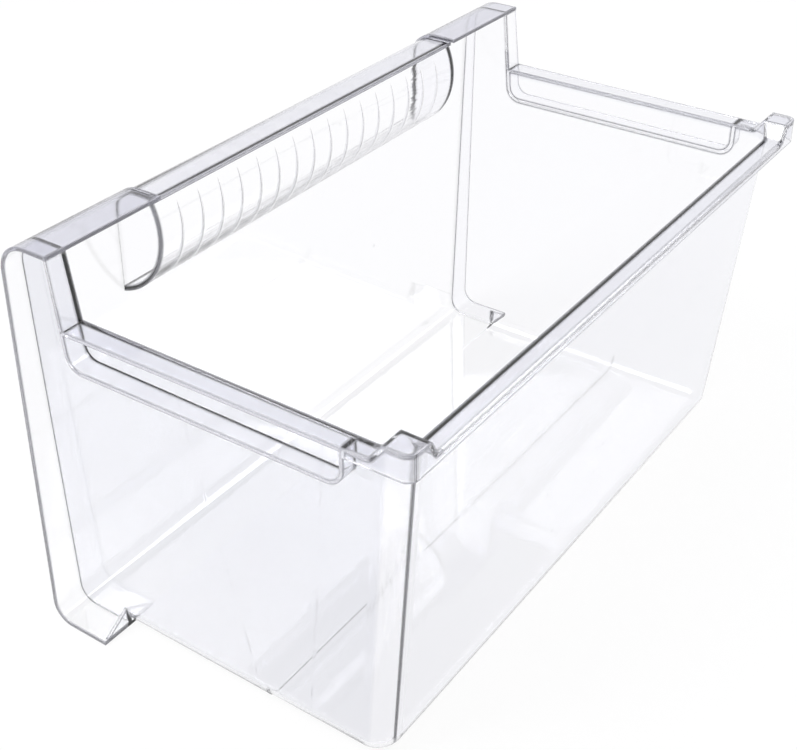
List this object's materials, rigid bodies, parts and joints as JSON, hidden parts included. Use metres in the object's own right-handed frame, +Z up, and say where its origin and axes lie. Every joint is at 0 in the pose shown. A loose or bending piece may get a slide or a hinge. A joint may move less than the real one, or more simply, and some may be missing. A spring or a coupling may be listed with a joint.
{
  "type": "freezer drawer",
  "caption": "Clear freezer drawer with a drafted tub, runner slots along both sides, corner stops on its rear rim and a full-width front panel with a ribbed finger scoop under its top flange.",
  "frame": {"origin": "under the middle of the drawer, in the plane of its foot", "axes": "+X across the front to the right of a person facing it, -Y out of the front, +Z up"},
  "size_m": [0.44, 0.249, 0.252],
  "materials": {
    "clear": "clear polystyrene, glossy",
    "tinted": "clear polystyrene seen along its edge, glossy"
  },
  "bodies": {
    "root": {"front_panel": "clear", "grip_bar": "tinted", "finger_scoop": "clear", "left_scoop_end": "clear", "right_scoop_end": "clear", "grip_ribs": "clear", "floor_panel": "clear", "rear_floor_panel": "clear", "left_floor_corner": "clear", "right_floor_corner": "clear", "left_side_wall": "clear", "right_side_wall": "clear", "rear_wall": "clear", "left_rear_corner": "clear", "right_rear_corner": "clear", "left_rim_ledge": "tinted", "right_rim_ledge": "tinted", "left_runner": "clear", "right_runner": "clear", "left_rear_ledge": "tinted", "right_rear_ledge": "tinted", "rear_rim": "tinted", "left_rear_stop": "clear", "right_rear_stop": "clear", "left_foot_gusset": "tinted", "right_foot_gusset": "tinted"}
  },
  "joints": []
}
